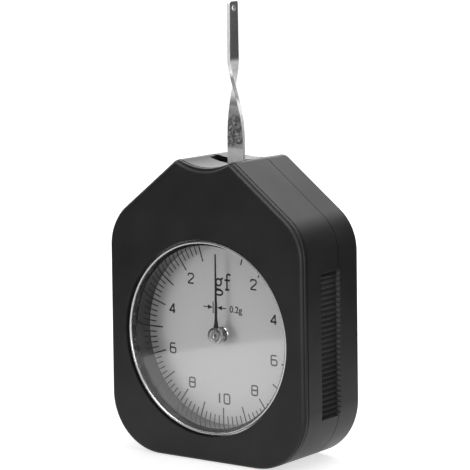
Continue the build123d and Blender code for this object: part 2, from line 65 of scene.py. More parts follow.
front_inner_y = -9.7
case_height, case_wall, wall_grow = 76.8, 2.6, 0.445
top_half, shoulder_half, foot_half, shoulder_z = 8.35, 30.0, 30.3, 59.8
hollow_depth, shoulder_bend, foot_bend = 2.0, 12.5, 15.0
panel_edge, ledge_edge = 0.82, 0.33
dial_z = 31.8
window_radius, window_seat_radius, window_seat_y = 25.3, 25.88, -10.5
tube_radius, tube_back_y = 27.38, -3.5
post_radius, post_places = 1.9, [(-13.0, 60.0), (13.0, 60.0), (-24.6, 14.4), (24.6, 14.4)]
boss_radius, boss_places = 3.2, [(-21.5, 55.5), (21.5, 55.5), (-20.5, 7.5), (20.5, 7.5)]
thread_bore, thread_depth = 1.25, 5.0
slot_half, slot_front_y, slot_back_y, slot_floor = 6.97, 0.6, 4.3, 70.2
grip_bottom, grip_front_y, grip_ramp = 12.8, -4.4, 1.7
ridge_pitch, ridge_count, ridge_depth = 1.33, 28, 0.55


def close_edit():
    """Back to object mode with nothing selected."""
    if bpy.context.object and bpy.context.object.mode == "EDIT":
        bpy.ops.object.mode_set(mode="OBJECT")
    bpy.ops.object.select_all(action="DESELECT")


def take_up(piece):
    """Selects this piece alone."""
    close_edit()
    piece.select_set(True)
    bpy.context.view_layer.objects.active = piece


def open_edit(piece):
    """Opens a piece for editing, with nothing selected."""
    take_up(piece)
    bpy.ops.object.mode_set(mode="EDIT")
    bpy.ops.mesh.select_all(action="DESELECT")


def start_piece(name):
    """A new piece with an empty mesh, open for editing."""
    close_edit()
    bpy.ops.mesh.primitive_plane_add(size=MM)
    piece = bpy.context.object
    piece.name = piece.data.name = name
    bpy.ops.object.mode_set(mode="EDIT")
    bpy.ops.mesh.delete(type="VERT")
    return piece


def start_line(x, y, z):
    """Puts down the first point of a line, in millimetres: a plane drawn together to its middle."""
    bpy.ops.mesh.select_mode(type="VERT")
    bpy.ops.mesh.select_all(action="DESELECT")
    bpy.ops.mesh.primitive_plane_add(size=MM)
    bpy.ops.mesh.merge(type="CENTER")
    bpy.ops.transform.translate(value=Vector((x, y, z)) * MM)


def line_end():
    """The point that a line has come to."""
    points = bmesh.from_edit_mesh(bpy.context.object.data).verts
    return next(point.co.copy() for point in points if point.select)


def extrude(way):
    """Draws what is selected out along a vector in metres."""
    bpy.ops.mesh.extrude_region_move(TRANSFORM_OT_translate={"value": way})


def line_to(x, y, z):
    """Draws on from the last point, straight."""
    extrude(Vector((x, y, z)) * MM - line_end())


def arc_to(x, z, centre, steps):
    """Draws on round a centre (x, z), at the same depth, the short way."""
    end = line_end() / MM
    first = Vector((end.x, end.z)) - Vector(centre)
    last = Vector((x, z)) - Vector(centre)
    turn = atan2(first.x * last.y - first.y * last.x, first.dot(last))
    middle = Vector((centre[0], end.y, centre[1])) * MM
    bpy.ops.mesh.spin(steps=steps, angle=turn, center=middle, axis=(0, 1, 0))


def pick(kind, test):
    """Selects only the verts, edges or faces whose middle, in millimetres, passes the test."""
    bpy.ops.mesh.select_mode(type={"verts": "VERT", "edges": "EDGE", "faces": "FACE"}[kind])
    bpy.ops.mesh.select_all(action="DESELECT")
    mesh = bmesh.from_edit_mesh(bpy.context.object.data)
    for item in getattr(mesh, kind):
        if kind == "verts":
            chosen = test(item.co / MM)
        elif kind == "edges":
            chosen = test(*[point.co / MM for point in item.verts])
        else:
            chosen = test(item.calc_center_median() / MM, item.normal)
        if chosen:
            item.select_set(True)
    mesh.select_flush_mode()
    bmesh.update_edit_mesh(bpy.context.object.data)


def remember(name):
    """Keeps the line just drawn under a name, so that it can be picked again."""
    bpy.ops.mesh.select_linked()
    bpy.ops.object.vertex_group_add()
    bpy.context.object.vertex_groups.active.name = name
    bpy.ops.object.vertex_group_assign()


def recall(*names):
    """Selects only the lines kept under these names."""
    bpy.ops.mesh.select_all(action="DESELECT")
    for name in names:
        bpy.context.object.vertex_groups.active_index = bpy.context.object.vertex_groups[name].index
        bpy.ops.object.vertex_group_select()


def bridge(*names):
    """Lays a wall from each line to the next."""
    for first, second in zip(names, names[1:]):
        recall(first, second)
        bpy.ops.mesh.bridge_edge_loops()


def cap(name):
    """Fills a line with one face."""
    recall(name)
    bpy.ops.mesh.edge_face_add()


def close_mesh():
    """Seams merged and all faces turned outwards."""
    bpy.ops.mesh.select_all(action="SELECT")
    bpy.ops.mesh.remove_doubles(threshold=weld)
    bpy.ops.mesh.delete_loose()
    bpy.ops.mesh.select_all(action="SELECT")
    bpy.ops.mesh.normals_make_consistent(inside=False)
    bpy.ops.mesh.select_all(action="DESELECT")


def round_edges(radius, segments):
    """Rounds the selected edges."""
    bpy.ops.mesh.bevel(offset=radius * MM, segments=segments, affect="EDGES", clamp_overlap=False)


def add_modifier(piece, kind, **settings):
    """Adds a modifier and applies it."""
    take_up(piece)
    modifier = piece.modifiers.new(kind.lower(), kind)
    for setting, value in settings.items():
        setattr(modifier, setting, value)
    bpy.ops.object.modifier_apply(modifier=modifier.name)


def mirror(piece, **settings):
    """Adds the left half."""
    add_modifier(piece, "MIRROR", use_axis=(True, False, False), merge_threshold=weld, **settings)


def cut(piece, cutter, operation="DIFFERENCE"):
    """Takes the cutter's shape away, or adds it with UNION."""
    add_modifier(piece, "BOOLEAN", object=cutter, operation=operation, solver="EXACT")
    bpy.data.objects.remove(cutter)


def smooth(piece, angle=30):
    """Curved walls shade smooth, flat walls stay flat, and what turns by more than the angle is an edge."""
    take_up(piece)
    bpy.ops.object.shade_smooth_by_angle(angle=radians(angle))
    add_modifier(piece, "WEIGHTED_NORMAL", mode="FACE_AREA", keep_sharp=True)


def half_outline(name, depth, grow=0.0, floor=0.0, scoop_drop=0.0, tip=1.5):
    """The right half of the case's outline, from the hollow on top round to the middle of the floor."""
    slope = atan2(case_height - shoulder_z, shoulder_half - top_half)
    corner = Vector((top_half + grow * tan(slope / 2), case_height + grow))
    shoulder = Vector((shoulder_half + grow, shoulder_z + grow * tan(pi / 4 - slope / 2)))
    foot = Vector((foot_half + grow, floor))
    down_slope, down_side = (shoulder - corner).normalized(), (foot - shoulder).normalized()
    in_from_slope = Vector((down_slope.y, -down_slope.x))
    in_from_side = Vector((down_side.y, -down_side.x))

    sag = hollow_depth + scoop_drop
    hollow_radius = (corner.x ** 2 + sag ** 2) / (2 * sag)
    hollow_centre = Vector((0, corner.y - sag + hollow_radius))
    tip_radius = max(tip + grow, 0.3)
    both_radii = hollow_radius + tip_radius
    reach = corner + in_from_slope * tip_radius - hollow_centre
    along = reach.dot(down_slope)
    step = -along + sqrt(along ** 2 - reach.length_squared + both_radii ** 2)
    tip_centre = corner + down_slope * step + in_from_slope * tip_radius
    tip_start = hollow_centre + (tip_centre - hollow_centre) * hollow_radius / both_radii
    start_line(0, depth, hollow_centre.y - hollow_radius)
    arc_to(*tip_start, hollow_centre, steps=12)
    arc_to(*(corner + down_slope * step), tip_centre, steps=6)

    bend = shoulder_bend + grow
    cut_back = bend * tan(acos(down_slope.dot(down_side)) / 2)
    bend_start = shoulder - down_slope * cut_back
    line_to(bend_start.x, depth, bend_start.y)
    arc_to(*(shoulder + down_side * cut_back), bend_start + in_from_slope * bend, steps=14)

    bend = foot_bend + grow
    cut_back = bend * tan(acos(-down_side.x) / 2)
    bend_start = foot - down_side * cut_back
    line_to(bend_start.x, depth, bend_start.y)
    arc_to(foot.x - cut_back, floor, bend_start + in_from_side * bend, steps=24)
    line_to(0, depth, floor)
    remember(name)


def is_ring(depth):
    """Edges that run round the case at one depth, without the seam down its middle."""
    def test(first, second):
        level = abs(first.y - depth) < 0.01 and abs(second.y - depth) < 0.01
        return level and max(abs(first.x), abs(second.x)) > 0.05
    return test


def add_cylinder(x, z, radius, front, back, sides=48):
    """A round bar that runs front to back."""
    close_edit()
    bpy.ops.mesh.primitive_cylinder_add(vertices=sides, radius=radius * MM, depth=(back - front) * MM,
                                        location=(x * MM, (front + back) / 2 * MM, z * MM),
                                        rotation=(pi / 2, 0, 0))
    return bpy.context.object


def add_block(x_range, y_range, z_range):
    """A block between two places along each axis."""
    close_edit()
    middle = [(low + high) / 2 * MM for low, high in (x_range, y_range, z_range)]
    size = [(high - low) * MM for low, high in (x_range, y_range, z_range)]
    bpy.ops.mesh.primitive_cube_add(size=1, location=middle, scale=size)
    return bpy.context.object


def add_grip_cutter():
    """Both grips' ridges, which run from front to back and climb out on a ramp in the rear shell."""
    beyond = foot_half + 2.2
    cutter = start_piece("grip_cutter")
    start_line(beyond, grip_front_y, grip_bottom)
    for step in range(2 * ridge_count + 1):
        height = grip_bottom + step * ridge_pitch / 2
        side = foot_half - (foot_half - shoulder_half) * height / shoulder_z
        line_to(side - (step % 2) * ridge_depth, grip_front_y, height)
    line_to(beyond, grip_front_y, height)
    bpy.ops.mesh.select_all(action="SELECT")
    bpy.ops.mesh.edge_face_add()
    extrude((0, (parting_y - grip_front_y) * MM, 0))
    extrude((grip_ramp * MM, grip_ramp * MM, 0))
    close_mesh()
    mirror(cutter, use_mirror_merge=False)
    open_edit(cutter)
    close_mesh()
    return cutter


def add_slot_cutter():
    """The lever's slot, which both shells share."""
    return add_block((-slot_half, slot_half), (slot_front_y, slot_back_y), (slot_floor, case_height + 5))


front_shell = start_piece("front_shell")
for name, depth in (("panel", panel_y), ("panel_foot", ledge_y)):
    half_outline(name, depth, grow=-0.05, floor=0.1, scoop_drop=0.3)
for name, depth, grow in (("ledge", ledge_y, 0.3), ("groove", groove_y, 0.3),
                          ("wall", groove_y, 0.42), ("parting", parting_y, wall_grow)):
    half_outline(name, depth, grow=grow)
for name, depth in (("parting_inside", parting_y), ("front_inside", front_inner_y)):
    half_outline(name, depth, grow=-case_wall, floor=case_wall)
bridge("panel", "panel_foot", "ledge", "groove", "wall", "parting", "parting_inside", "front_inside")
cap("panel")
cap("front_inside")
mirror(front_shell)
open_edit(front_shell)
close_mesh()
pick("edges", is_ring(panel_y))
round_edges(panel_edge, 6)
recall("ledge")
round_edges(ledge_edge, 4)
cut(front_shell, add_cylinder(0, dial_z, tube_radius, front_inner_y - root, tube_back_y, 128), "UNION")
for x, z in post_places:
    cut(front_shell, add_cylinder(x, z, post_radius, front_inner_y - root, tube_back_y), "UNION")
for x, z in boss_places:
    cut(front_shell, add_cylinder(x, z, boss_radius, front_inner_y - root, parting_y), "UNION")
    cut(front_shell, add_cylinder(x, z, thread_bore, parting_y - thread_depth, parting_y + past))
cut(front_shell, add_cylinder(0, dial_z, window_radius, panel_y - past, window_seat_y + 0.1, 128))
cut(front_shell, add_cylinder(0, dial_z, window_seat_radius, window_seat_y, tube_back_y + past, 128))
cut(front_shell, add_slot_cutter())
cut(front_shell, add_grip_cutter())
smooth(front_shell)


def start_material(name, colour, roughness, metallic=0.0, **settings):
    """A material with one Principled shader to build on."""
    material = bpy.data.materials.new(name)
    material.use_nodes = True
    shader = material.node_tree.nodes["Principled BSDF"]
    shader.inputs["Base Color"].default_value = (*colour, 1.0)
    shader.inputs["Roughness"].default_value = roughness
    shader.inputs["Metallic"].default_value = metallic
    for setting, value in settings.items():
        shader.inputs[setting.replace("_", " ")].default_value = value
    return material, shader


def add_node(material, kind, **settings):
    """A node with its sockets and settings filled in."""
    node = material.node_tree.nodes.new(kind)
    for setting, value in settings.items():
        if setting in node.inputs:
            node.inputs[setting].default_value = value
        else:
            setattr(node, setting, value)
    return node


def add_noise(material, scale, detail=3.0, stretch=(1, 1, 1), distortion=0.0):
    """Noise in the piece's own metres: scale is patches per metre, stretch is along X, Y and Z."""
    link = material.node_tree.links.new
    place = add_node(material, "ShaderNodeTexCoord")
    mapping = add_node(material, "ShaderNodeMapping", Scale=stretch)
    noise = add_node(material, "ShaderNodeTexNoise", Scale=scale, Detail=detail, Distortion=distortion)
    link(place.outputs["Object"], mapping.inputs["Vector"])
    link(mapping.outputs["Vector"], noise.inputs["Vector"])
    return noise.outputs["Fac"]


def add_range(material, factor, lowest, highest, to_lowest=0.0, to_highest=1.0):
    """Turns what lies between two numbers into what lies between two others."""
    stretch = add_node(material, "ShaderNodeMapRange")
    for name, value in (("From Min", lowest), ("From Max", highest),
                        ("To Min", to_lowest), ("To Max", to_highest)):
        stretch.inputs[name].default_value = value
    material.node_tree.links.new(factor, stretch.inputs["Value"])
    return stretch.outputs["Result"]


def vary(material, factor, socket, low, high, spread=0.25):
    """Drives a socket between two numbers or colours by a noise."""
    link = material.node_tree.links.new
    if isinstance(low, tuple):
        ramp = add_node(material, "ShaderNodeValToRGB")
        for stop, place, colour in zip(ramp.color_ramp.elements, (0.5 - spread, 0.5 + spread), (low, high)):
            stop.position = place
            stop.color = (*colour, 1.0)
        link(factor, ramp.inputs["Fac"])
        link(ramp.outputs["Color"], socket)
    else:
        link(add_range(material, factor, 0.5 - spread, 0.5 + spread, low, high), socket)


def add_bump(material, factor, shader, height, strength=1.0):
    """A bump of that height in millimetres."""
    bump = add_node(material, "ShaderNodeBump", Strength=strength, Distance=height * MM)
    material.node_tree.links.new(factor, bump.inputs["Height"])
    material.node_tree.links.new(bump.outputs["Normal"], shader.inputs["Normal"])


def dress(piece, material):
    """Gives a piece this material alone."""
    piece.data.materials.clear()
    piece.data.materials.append(material)


black_plastic, plastic_shader = start_material("black_plastic", (0.012, 0.012, 0.012), 0.4,
                                               Specular_IOR_Level=0.28)
vary(black_plastic, add_noise(black_plastic, 35, detail=2), plastic_shader.inputs["Roughness"], 0.37, 0.49)
vary(black_plastic, add_noise(black_plastic, 90), plastic_shader.inputs["Base Color"],
     (0.008, 0.008, 0.008), (0.017, 0.017, 0.017))
add_bump(black_plastic, add_noise(black_plastic, 2200, detail=3), plastic_shader, 0.006, 0.5)
dress(front_shell, black_plastic)
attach(front_shell, "case")
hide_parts("front_housing")

# ---- Rear shell
# The other half of the case, in the same plastic. A fine groove runs round it at the joint,
# and four round pockets in its back take the heads of the screws that pull it to the front.
back_y, back_inner_y, back_edge = 12.2, 10.2, 0.35
groove_back_y, groove_grow = parting_y + 0.2, 0.25
screw_seat_y, seat_radius, shank_bore = back_y - 2.1, 2.3, 1.45

rear_shell = start_piece("rear_shell")
for name, depth, grow in (("parting", parting_y, groove_grow), ("joint_groove", groove_back_y, groove_grow),
                          ("wall", groove_back_y, wall_grow), ("back", back_y, wall_grow)):
    half_outline(name, depth, grow=grow, scoop_drop=-0.7, tip=2.6)
for name, depth in (("parting_inside", parting_y), ("back_inside", back_inner_y)):
    half_outline(name, depth, grow=-case_wall, floor=case_wall)
bridge("back", "wall", "joint_groove", "parting", "parting_inside", "back_inside")
cap("back")
cap("back_inside")
mirror(rear_shell)
open_edit(rear_shell)
close_mesh()
pick("edges", is_ring(back_y))
round_edges(back_edge, 4)
for x, z in boss_places:
    cut(rear_shell, add_cylinder(x, z, boss_radius, parting_y, back_inner_y + root), "UNION")
    cut(rear_shell, add_cylinder(x, z, shank_bore, parting_y - past, back_y + past))
    cut(rear_shell, add_cylinder(x, z, seat_radius, screw_seat_y, back_y + past))
cut(rear_shell, add_slot_cutter())
cut(rear_shell, add_grip_cutter())
smooth(rear_shell)
dress(rear_shell, black_plastic)
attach(rear_shell, "case")
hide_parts("rear_cover")

# ---- Bezel ring
# Polished nickel-plated brass ring, turned with a rolled lip that holds the window
# and a flange that seats behind the front panel.


def spin_section(name, section, x=0.0, z=dial_z, steps=128):
    """A turned piece: its closed section, as (radius, depth) points, spun about its axis at (x, z)."""
    piece = start_piece(name)
    start_line(x + section[0][0], section[0][1], z)
    for radius, depth in section[1:] + section[:1]:
        line_to(x + radius, depth, z)
    bpy.ops.mesh.select_all(action="SELECT")
    bpy.ops.mesh.remove_doubles(threshold=weld)
    bpy.ops.mesh.spin(steps=steps, angle=2 * pi, center=(x * MM, 0, z * MM), axis=(0, 1, 0))
    close_mesh()
    return piece


bezel = spin_section("bezel", [(24.2, -11.35), (24.26, -11.5), (24.42, -11.6), (24.66, -11.6),
                               (24.82, -11.52), (24.86, -11.4), (24.86, -10.5), (25.86, -10.5),
                               (25.86, -9.7), (24.51, -9.7), (24.51, -11.2), (24.2, -11.2)], steps=160)
smooth(bezel, 40)
bright_nickel, nickel_shader = start_material("bright_nickel", (0.5, 0.5, 0.5), 0.2, metallic=1.0)
vary(bright_nickel, add_noise(bright_nickel, 400), nickel_shader.inputs["Roughness"], 0.2, 0.32)
dress(bezel, bright_nickel)
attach(bezel, "case")
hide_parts("bezel_ring")

# ---- Window
# Flat clear acrylic disc with its front edge bevelled. It is laid into the bezel ring
# from behind and held under the ring's lip.
window = spin_section("window", [(0, -11.2), (24.29, -11.2), (24.49, -11.0), (24.49, -9.7), (0, -9.7)])
smooth(window)
clear_acrylic = bpy.data.materials.new("clear_acrylic")
clear_acrylic.use_nodes = True
clear_acrylic.node_tree.nodes.remove(clear_acrylic.node_tree.nodes["Principled BSDF"])
through = add_node(clear_acrylic, "ShaderNodeBsdfTransparent", Color=(0.98, 0.98, 0.98, 1))
gloss = add_node(clear_acrylic, "ShaderNodeBsdfGlossy", Color=(1, 1, 1, 1), Roughness=0.06)
facing = add_node(clear_acrylic, "ShaderNodeLayerWeight", Blend=0.5)
steepened = add_node(clear_acrylic, "ShaderNodeMath", operation="POWER")
steepened.inputs[1].default_value = 5.0
blend = add_node(clear_acrylic, "ShaderNodeMixShader")
link = clear_acrylic.node_tree.links.new
link(facing.outputs["Facing"], steepened.inputs[0])
link(add_range(clear_acrylic, steepened.outputs["Value"], 0.0, 1.0, to_lowest=0.05), blend.inputs["Fac"])
link(through.outputs["BSDF"], blend.inputs[1])
link(gloss.outputs["BSDF"], blend.inputs[2])
link(blend.outputs["Shader"], clear_acrylic.node_tree.nodes["Material Output"].inputs["Surface"])
dress(window, clear_acrylic)
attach(window, "case")
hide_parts("crystal")

# ---- Dial well
# Glossy black moulded sleeve that spaces the window from the dial. It is dropped into the
# front shell's tube, and its wall mirrors the ends of the scale.
well = spin_section("well", [(23.5, -9.7), (25.86, -9.7), (25.86, -4.3), (23.5, -4.3)], steps=160)
smooth(well)
glossy_black, glossy_shader = start_material("glossy_black", (0.012, 0.012, 0.012), 0.08)
vary(glossy_black, add_noise(glossy_black, 60), glossy_shader.inputs["Roughness"], 0.05, 0.11)
dress(well, glossy_black)
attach(well, "case")
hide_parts("dial_well")

# ---- Dial
# Aluminium disc with a fine matt silver finish, pierced in the middle for the pointer's
# bush. It lies against the well, in the front shell's tube.
dial_y, dial_back_y, dial_radius, dial_hole = -4.3, -3.5, 25.86, 1.97
dial = spin_section("dial", [(dial_hole, dial_y), (dial_radius, dial_y),
                             (dial_radius, dial_back_y), (dial_hole, dial_back_y)])
smooth(dial)
dial_silver, dial_shader = start_material("dial_silver", (0.7, 0.7, 0.7), 0.42, metallic=0.3)
vary(dial_silver, add_noise(dial_silver, 2500, detail=2), dial_shader.inputs["Roughness"], 0.38, 0.5)
vary(dial_silver, add_noise(dial_silver, 4000, detail=2), dial_shader.inputs["Base Color"],
     (0.67, 0.67, 0.67), (0.73, 0.73, 0.73))
add_bump(dial_silver, add_noise(dial_silver, 6000, detail=2), dial_shader, 0.002, 0.3)
dress(dial, dial_silver)
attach(dial, "case")
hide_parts("dial_plate")

# ---- Scale
# Black ink printed on the dial: a long line for each unit, four short ones between, and
# nothing beside the zero. One line is drawn and carried round the dial.
ink_thick = 0.04
ink_front_y, ink_back_y = dial_y - ink_thick / 2, dial_y + ink_thick / 2
unit_angle, fine_angle, bare_angle = 18, 3.6, 17
line_outer, long_inner, short_inner = 23.46, 19.25, 21.4
long_width, short_width = 0.36, 0.3


def add_tick(inner, width):
    """One line of the scale, straight up from the dial's middle."""
    bpy.ops.mesh.select_all(action="DESELECT")
    middle = Vector((0, (ink_front_y + ink_back_y) / 2, dial_z + (inner + line_outer) / 2)) * MM
    size = Vector((width, ink_back_y - ink_front_y, line_outer - inner)) * MM
    bpy.ops.mesh.primitive_cube_add(size=1, location=middle, scale=size)


def spread_round(step_angle):
    """Copies the line just added all round the dial."""
    copies = round(360 / step_angle) - 1
    bpy.ops.mesh.spin(steps=copies, angle=radians(step_angle * copies), dupli=True,
                      center=(0, 0, dial_z * MM), axis=(0, 1, 0))


def turned_from_top(place):
    """How many degrees round the dial a place is, to the right of the zero."""
    return degrees(atan2(place.x, place.z - dial_z))


def is_spare(place, normal):
    """Short lines near the zero, and those that a long line covers."""
    units = turned_from_top(place) / unit_angle
    return abs(turned_from_top(place)) < bare_angle or abs(units - round(units)) < 0.1


scale_lines = start_piece("scale_lines")
add_tick(short_inner, short_width)
spread_round(fine_angle)
pick("faces", is_spare)
bpy.ops.mesh.delete(type="VERT")
add_tick(long_inner, long_width)
spread_round(unit_angle)
pick("faces", lambda place, normal: abs(turned_from_top(place)) < unit_angle / 2)
bpy.ops.mesh.delete(type="VERT")
close_mesh()
close_edit()
black_ink, ink_shader = start_material("black_ink", (0.01, 0.01, 0.01), 0.6, Specular_IOR_Level=0.2)
vary(black_ink, add_noise(black_ink, 3000), ink_shader.inputs["Base Color"],
     (0.006, 0.006, 0.006), (0.02, 0.02, 0.02))
dress(scale_lines, black_ink)
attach(scale_lines, "case")

# ---- Numerals
# Plain even numbers with square shoulders, for every second unit on both sides of the
# zero. They are drawn with a pen of one width and printed in the same ink.
digit_width, digit_height, digit_pitch, digit_pen = 1.75, 2.5, 2.25, 0.47
digit_bend, sharp_bend, number_radius, one_shift = 0.45, 0.02, 16.85, 0.1
digits = {
    "0": [[(1, 0.5), (1, 1), (0, 1), (0, 0), (1, 0), (1, 0.5)]],
    "1": [[(0.5, 0), (0.5, 1)]],
    "2": [[(0.02, 0.74), (0.06, 1), (0.98, 1), (0.98, 0.62), (0.1, 0.14), (0, 0), (1, 0)]],
    "4": [[(0.76, 0), (0.76, 1), (0, 0.28), (1.02, 0.28)]],
    "6": [[(0.92, 1), (0, 1), (0, 0), (1, 0), (1, 0.56), (0, 0.56)]],
    "8": [[(0.5, 1), (1, 1), (1, 0), (0, 0), (0, 1), (0.5, 1)], [(0, 0.53), (1, 0.53)]],
}


def draw_path(points, corner=0.0):
    """Draws a line on the dial through (x, z) points, with its corners rounded."""
    points = [Vector(point) for point in points]
    start_line(points[0].x, dial_y, points[0].y)
    for before, middle, after in zip(points, points[1:], points[2:]):
        arriving, leaving = (middle - before).normalized(), (after - middle).normalized()
        turn = arriving.angle(leaving)
        back = min(corner * tan(turn / 2), 0.45 * (middle - before).length, 0.45 * (after - middle).length)
        radius = back / tan(turn / 2)
        side = 1 if arriving.x * leaving.y > arriving.y * leaving.x else -1
        start = middle - arriving * back
        line_to(start.x, dial_y, start.y)
        if back > 0.01:
            centre = start + Vector((-arriving.y, arriving.x)) * side * radius
            arc_to(*(middle + leaving * back), centre, steps=3)
    line_to(points[-1].x, dial_y, points[-1].y)


def ink_strokes(piece, pen):
    """Gives drawn lines the width of a pen and presses them flat onto the dial."""
    bpy.ops.mesh.select_all(action="SELECT")
    bpy.ops.mesh.remove_doubles(threshold=weld)
    take_up(piece)
    bpy.ops.object.convert(target="CURVE")
    piece.data.bevel_depth = pen / 2 * MM
    piece.data.bevel_resolution = 1
    piece.data.use_fill_caps = True
    bpy.ops.object.convert(target="MESH")
    open_edit(piece)
    bpy.ops.mesh.select_all(action="SELECT")
    bpy.ops.transform.resize(value=(1, ink_thick / pen, 1), center_override=(0, dial_y * MM, 0))
    close_mesh()
    close_edit()


numerals = start_piece("numerals")
for value in (-8, -6, -4, -2, 2, 4, 6, 8, 10):
    turn = radians(unit_angle * value)
    text = str(abs(value))
    for place, digit in enumerate(text):
        x = number_radius * sin(turn) + (place - (len(text) - 1) / 2) * digit_pitch
        z = dial_z + number_radius * cos(turn)
        if digit == "1":
            x -= one_shift
        for stroke in digits[digit]:
            draw_path([(x + (across - 0.5) * digit_width, z + (up - 0.5) * digit_height)
                       for across, up in stroke], sharp_bend if digit == "4" else digit_bend)
ink_strokes(numerals, digit_pen)
dress(numerals, black_ink)
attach(numerals, "case")

# ---- Unit and resolution mark
# The unit, gf, in a bookish letter with a two-storey g, and below it two short lines
# between arrows, with the value of one small division. All is printed in the same ink.
unit_pen, mark_pen = 0.58, 0.3
mark_z, mark_half, mark_lines = 38.5, 1.5, (-2.88, -1.72)
arrow_half = 0.6
value_place, value_size, value_swell = (2.3, ink_front_y, 37.65), 2.4, 0.03


def draw_loop(x, z, wide, high):
    """A closed oval."""
    start_line(x + wide / 2, dial_y, z)
    bpy.ops.mesh.spin(steps=16, angle=2 * pi, center=(x * MM, dial_y * MM, z * MM), axis=(0, 1, 0))
    bpy.ops.mesh.select_linked()
    bpy.ops.mesh.remove_doubles(threshold=weld)
    bpy.ops.transform.resize(value=(1, 1, high / wide), center_override=(x * MM, dial_y * MM, z * MM))


unit = start_piece("unit")
draw_loop(-1.05, 45.15, 1.7, 1.75)
draw_loop(-0.95, 42.5, 2.3, 1.35)
draw_path([(-1.6, 44.4), (-2.0, 43.85), (-1.5, 43.35), (-0.4, 43.2)], 0.5)
draw_path([(-0.35, 45.75), (-0.05, 46.2), (0.35, 46.15)], 0.3)
draw_path([(2.75, 47.15), (2.15, 47.5), (1.6, 47.2), (1.6, 43.4)], 0.8)
draw_path([(0.85, 45.85), (2.55, 45.85)])
draw_path([(1.0, 43.4), (2.3, 43.4)])
ink_strokes(unit, unit_pen)
dress(unit, black_ink)
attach(unit, "case")

marks = start_piece("division_mark")
for x in mark_lines:
    draw_path([(x, mark_z - mark_half), (x, mark_z + mark_half)])
for start, tail in ((-4.5, -5.95), (-0.1, 1.25)):
    draw_path([(start, mark_z), (tail, mark_z)])
ink_strokes(marks, mark_pen)
open_edit(marks)
for head, back in ((-2.98, -4.55), (-1.62, -0.05)):
    start_line(head, ink_front_y, mark_z)
    line_to(back, ink_front_y, mark_z + arrow_half)
    line_to(back, ink_front_y, mark_z - arrow_half)
    bpy.ops.mesh.select_linked()
    bpy.ops.mesh.edge_face_add()
    extrude((0, (ink_back_y - ink_front_y) * MM, 0))
close_mesh()
close_edit()
dress(marks, black_ink)
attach(marks, "case")

bpy.ops.object.text_add(location=Vector(value_place) * MM, rotation=(pi / 2, 0, 0))
division_value = bpy.context.object
division_value.name = "division_value"
division_value.data.body = "0.2g"
division_value.data.size = value_size * MM
division_value.data.offset = value_swell * MM
division_value.data.extrude = ink_thick / 4 * MM
bpy.ops.object.convert(target="MESH")
bpy.ops.object.transform_apply(location=True, rotation=True, scale=True)
open_edit(division_value)
close_mesh()
close_edit()
dress(division_value, black_ink)
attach(division_value, "case")

# ---- Pointer bush
# Turned brass bush, nickel-plated, that fills the hole in the dial and stands a little
# proud of it. The pointer's shaft runs in its bore.
bush = spin_section("pointer_bush", [(0.54, -4.1), (1.38, -4.1), (1.44, -4.62), (1.52, -4.7), (1.82, -4.7),
                                     (1.95, -4.57), (1.95, -2.0), (0.54, -2.0)], steps=64)
smooth(bush)
satin_nickel, satin_shader = start_material("satin_nickel", (0.38, 0.38, 0.38), 0.28, metallic=1.0)
vary(satin_nickel, add_noise(satin_nickel, 1500), satin_shader.inputs["Roughness"], 0.18, 0.25)
vary(satin_nickel, add_noise(satin_nickel, 300), satin_shader.inputs["Base Color"],
     (0.4, 0.4, 0.4), (0.44, 0.44, 0.44))
dress(bush, satin_nickel)
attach(bush, "case")
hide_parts("dial_bush")

# ---- Pointer
# Needle stamped from thin sheet and blackened. Its foot widens in two hollow curves to
# a round boss that is clamped on the hub.
pointer_front_y, pointer_back_y = -7.15, -6.9
needle_reach, tip_half, foot_top_half = 21, 0.13, 0.33
neck_top, neck_foot, neck_half, neck_curve = 5, 1.8, 0.88, 9.584
boss_round, boss_hole = 2, 1.12

pointer = start_piece("needle")
start_line(0, pointer_front_y, dial_z + needle_reach)
line_to(tip_half, pointer_front_y, dial_z + needle_reach)
line_to(foot_top_half, pointer_front_y, dial_z + neck_top)
arc_to(neck_half, dial_z + neck_foot, (foot_top_half + neck_curve, dial_z + neck_top), steps=8)
arc_to(0, dial_z - boss_round, (0, dial_z), steps=20)
line_to(0, pointer_front_y, dial_z + needle_reach)
bpy.ops.mesh.select_all(action="SELECT")
bpy.ops.mesh.remove_doubles(threshold=weld)
bpy.ops.mesh.edge_face_add()
mirror(pointer)
open_edit(pointer)
bpy.ops.mesh.select_all(action="SELECT")
extrude((0, (pointer_back_y - pointer_front_y) * MM, 0))
close_mesh()
cut(pointer, add_cylinder(0, dial_z, boss_hole, pointer_front_y - past, pointer_back_y + past, 32))
smooth(pointer)
pointer_black, needle_shader = start_material("pointer_black", (0.01, 0.01, 0.01), 0.4,
                                              Specular_IOR_Level=0.3)
vary(pointer_black, add_noise(pointer_black, 800), needle_shader.inputs["Roughness"], 0.32, 0.48)
dress(pointer, pointer_black)
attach(pointer, "pointer_set")
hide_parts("pointer")

# ---- Pointer hub
# Turned brass hub, satin nickel-plated, pressed on the end of the pointer's shaft. The
# needle sits behind its head, which has a shallow dish and a hole in its middle.
hub = spin_section("hub", [(0.42, -7.62), (0.55, -7.73), (1.3, -7.73), (1.5, -7.85), (1.98, -7.85),
                           (2.13, -7.79), (2.2, -7.64), (2.2, -7.15), (1.1, -7.15), (1.1, -6.0),
                           (0.52, -6.0), (0.52, -7.45), (0.42, -7.45)], steps=72)
smooth(hub)
dress(hub, satin_nickel)
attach(hub, "pointer_set")
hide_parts("pointer_hub")

